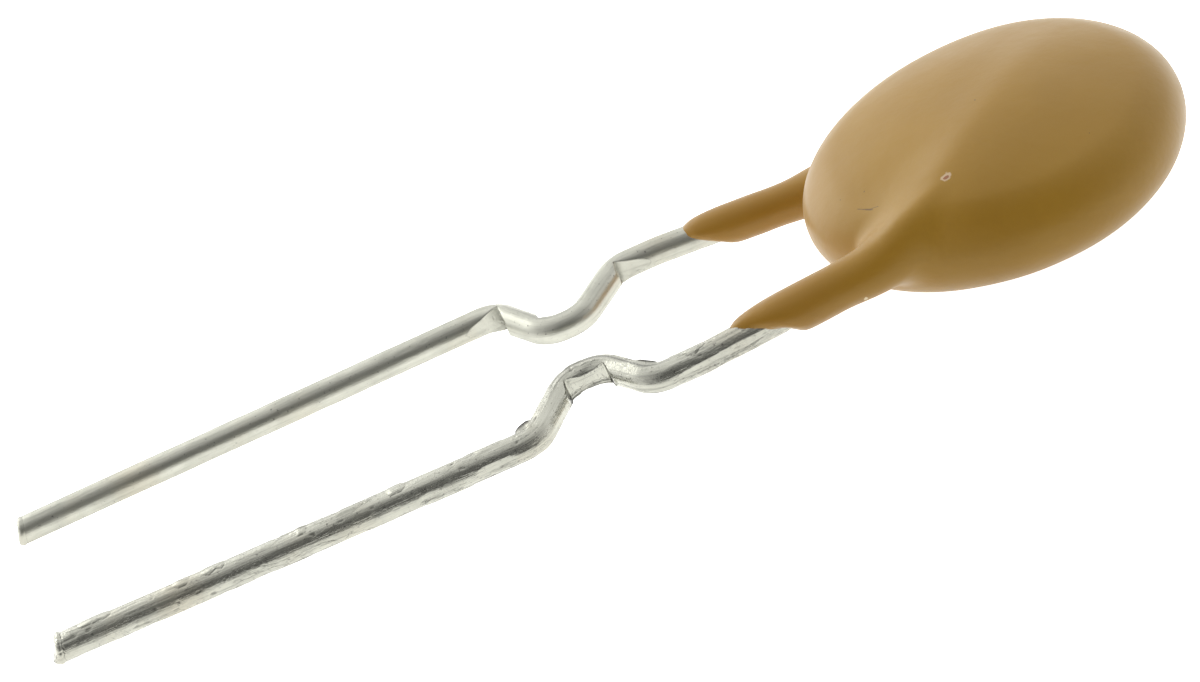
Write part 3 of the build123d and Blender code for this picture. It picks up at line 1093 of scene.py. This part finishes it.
# How much of the rear lead's tip, in millimetres, may touch the floor
TOUCHING_TIP = 0.3

# The light tent: which way its opening and its bright back wall lie, how each fades out, as cosines of
# the angle from its middle, and how light each part is; and the soft light behind, in millimetres
OPENING_SIDE = (0.0, -0.86, 0.51)
OPENING_FADE = (0.92, 0.10)
OPENING_POWER = 0.7
BACK_WALL_SIDE = (-0.60, 0.68, 0.42)
BACK_WALL_FADE = (0.86, 0.97)
OPENING_TONE = (0.15, 0.15, 0.15)
TENT_TONE = (1.05, 1.05, 1.05)
BACK_WALL_TONE = (2.8, 2.8, 2.75)
BACK_SOFTBOX_PLACE = (-40, 90, 60)
BACK_SOFTBOX_TARGET = (6, 0, 0)
BACK_SOFTBOX_SIZE = 70


def mesh_points(name):
    """A piece's vertices, in metres."""
    mesh = bpy.data.objects[name].data
    out = np.empty(len(mesh.vertices) * 3)
    mesh.vertices.foreach_get("co", out)
    return out.reshape(-1, 3)


def resting_slope():
    """Where the floor touches: the rear lead's tip, and the body's rear face at the steepest slope."""
    lead = mesh_points("rear_formed_lead")
    tip = lead[lead[:, 0] < lead[:, 0].min() + TOUCHING_TIP * MM]
    touch = tip[tip[:, 2].argmin()]
    body = mesh_points("dipped_body")
    slopes = (body[:, 2] - touch[2]) / (body[:, 0] - touch[0])
    return touch, math.atan(slopes.min())


def make_floor(color, glow):
    """A wide plain floor of opal sheet that the fuse lies on, lit a little from below."""
    touch, slope = resting_slope()
    bm = bmesh.new()
    laid = Matrix.Translation(Vector(touch)) @ Matrix.Rotation(-slope, 4, "Y")
    bmesh.ops.create_grid(bm, x_segments=8, y_segments=8, size=FLOOR_SIZE, matrix=laid)
    mesh = bpy.data.meshes.new("floor")
    bm.to_mesh(mesh)
    bm.free()
    material, surface = new_material("studio_floor", color, roughness=0.85)
    place = place_of(surface)
    paper = noise_of(surface, place, 900, 3, 0.5)
    connect(surface, "Base Color", mix_color(surface, paper, color, tuple(0.985 * c for c in color)))
    surface.inputs["Emission Color"].default_value = (1, 1, 1, 1)
    nearer = add_node(surface, "ShaderNodeSeparateXYZ", {"Vector": place}).outputs["Y"]
    path = add_node(surface, "ShaderNodeLightPath").outputs
    shaded = graded(surface, nearer, FULL_SHADE_FROM * MM, 0.0, SHADED_GLOW * glow, glow)
    bounced = combined(surface, shaded, ramp(surface, path["Is Diffuse Ray"], 1.0, DULL_GLOW, 0.0, 1.0))
    connect(surface, "Emission Strength",
            graded(surface, path["Is Camera Ray"], 0.0, 1.0, bounced, SEEN_GLOW * glow))
    mesh.materials.append(material)
    add_object("floor", mesh)


def add_softbox(name, place, target, size, power):
    """A large square soft light that looks at a point; places in millimetres."""
    light = bpy.data.lights.new(name, "AREA")
    light.shape = "SQUARE"
    light.size = size * MM
    light.energy = power
    made = add_object(name, light)
    place, target = Vector(place) * MM, Vector(target) * MM
    made.location = place
    made.rotation_euler = (place - target).to_track_quat("Z", "Y").to_euler()


def make_tent_light():
    """White light from all round, with the darker opening that the camera looks through."""
    world = bpy.data.worlds.new("light_tent")
    world.use_nodes = True
    bpy.context.scene.world = world
    surface = world.node_tree.nodes["Background"]
    ray = add_node(surface, "ShaderNodeTexCoord").outputs["Generated"]
    away = graded(surface, dot(surface, ray, OPENING_SIDE), *OPENING_FADE)
    away = combined(surface, away, OPENING_POWER, "POWER")
    tent = mix_color(surface, away, OPENING_TONE, TENT_TONE)
    lit = graded(surface, dot(surface, ray, BACK_WALL_SIDE), *BACK_WALL_FADE)
    connect(surface, "Color", mix_color(surface, lit, tent, BACK_WALL_TONE))


def make_camera():
    """The photograph's viewpoint."""
    lens = bpy.data.cameras.new("viewpoint")
    lens.lens = CAMERA_LENS
    lens.sensor_width = CAMERA_SENSOR
    lens.clip_start = 1 * MM
    camera = add_object("viewpoint", lens)
    turned = Matrix((CAMERA_RIGHT, CAMERA_UP, CAMERA_BACK)).transposed().to_4x4()
    camera.matrix_world = Matrix.Translation(Vector(CAMERA_PLACE) * MM) @ turned
    bpy.context.scene.camera = camera


class FUSE_OT_set_stage(bpy.types.Operator):
    """Lays the floor, hangs the lights and sets the camera"""

    bl_idname = "fuse.set_stage"
    bl_label = "Set the stage"

    def execute(self, context):
        settings = context.scene.fuse_stage
        make_floor(tuple(settings.floor_color), settings.floor_glow)
        make_tent_light()
        add_softbox("back_softbox", BACK_SOFTBOX_PLACE, BACK_SOFTBOX_TARGET, BACK_SOFTBOX_SIZE,
                    settings.key_power)
        make_camera()
        context.scene.view_settings.view_transform = "Standard"
        return {"FINISHED"}


class FUSE_PT_panel(bpy.types.Panel):
    """Lists the fuse's operators and settings"""

    bl_label = "Resettable fuse"
    bl_idname = "FUSE_PT_panel"
    bl_space_type = "VIEW_3D"
    bl_region_type = "UI"
    bl_category = "Fuse"

    def draw(self, context):
        scene = context.scene
        for operator, group in STEPS:
            self.layout.operator(operator)
            if group:
                settings = getattr(scene, group)
                for name in settings.__annotations__:
                    self.layout.prop(settings, name)


STEPS = (
    ("fuse.form_leads", "fuse_leads"), ("fuse.dip_body", "fuse_coating"),
    ("fuse.finish_inside", None), ("fuse.set_stage", "fuse_stage"),
)
SETTINGS = {
    "fuse_leads": FuseLeadSettings, "fuse_coating": FuseCoatingSettings,
    "fuse_stage": FuseStageSettings,
}
CLASSES = (
    FuseLeadSettings, FuseCoatingSettings, FuseStageSettings, FUSE_OT_form_leads,
    FUSE_OT_dip_body, FUSE_OT_finish_inside, FUSE_OT_set_stage, FUSE_PT_panel,
)


def register():
    """Registers the classes and hangs the settings on the scene."""
    for item in CLASSES:
        bpy.utils.register_class(item)
    for name, group in SETTINGS.items():
        setattr(bpy.types.Scene, name, PointerProperty(type=group))


def unregister():
    """Takes the settings and classes off again."""
    for name in SETTINGS:
        delattr(bpy.types.Scene, name)
    for item in reversed(CLASSES):
        bpy.utils.unregister_class(item)


def main():
    """Builds everything in order."""
    register()
    bpy.ops.fuse.form_leads()
    bpy.ops.fuse.dip_body()
    bpy.ops.fuse.finish_inside()
    bpy.ops.fuse.set_stage()
    bpy.context.view_layer.update()


if __name__ == "__main__":
    main()
